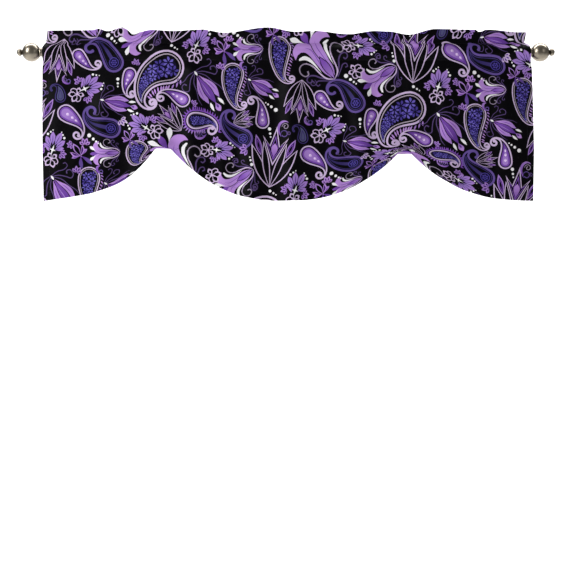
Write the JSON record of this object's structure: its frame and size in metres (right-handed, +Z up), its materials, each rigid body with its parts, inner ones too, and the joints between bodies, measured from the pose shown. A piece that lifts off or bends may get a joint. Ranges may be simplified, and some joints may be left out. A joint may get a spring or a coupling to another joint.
{
  "type": "window valance on a curtain rod",
  "caption": "Window valance of printed cloth with a standing header and rod pocket, hem drawn up into swags, hung on a round rod with ball finials.",
  "frame": {"origin": "on the rod's axis, half-way along it", "axes": "+X along the rod, to the right as seen from the front; +Z up; the front of the valance faces -Y"},
  "size_m": [1.4634, 0.0502, 0.471],
  "materials": {
    "printed_cloth": "plain woven polyester, printed, slight sheen",
    "rod_metal": "aged nickel, satin",
    "finial_metal": "aged nickel, polished, darker in its grooves"
  },
  "bodies": {
    "root": {"valance": "printed_cloth", "rod": "rod_metal", "ferrule_left": "finial_metal", "ferrule_right": "finial_metal", "finial_left": "finial_metal", "finial_right": "finial_metal"}
  },
  "joints": []
}
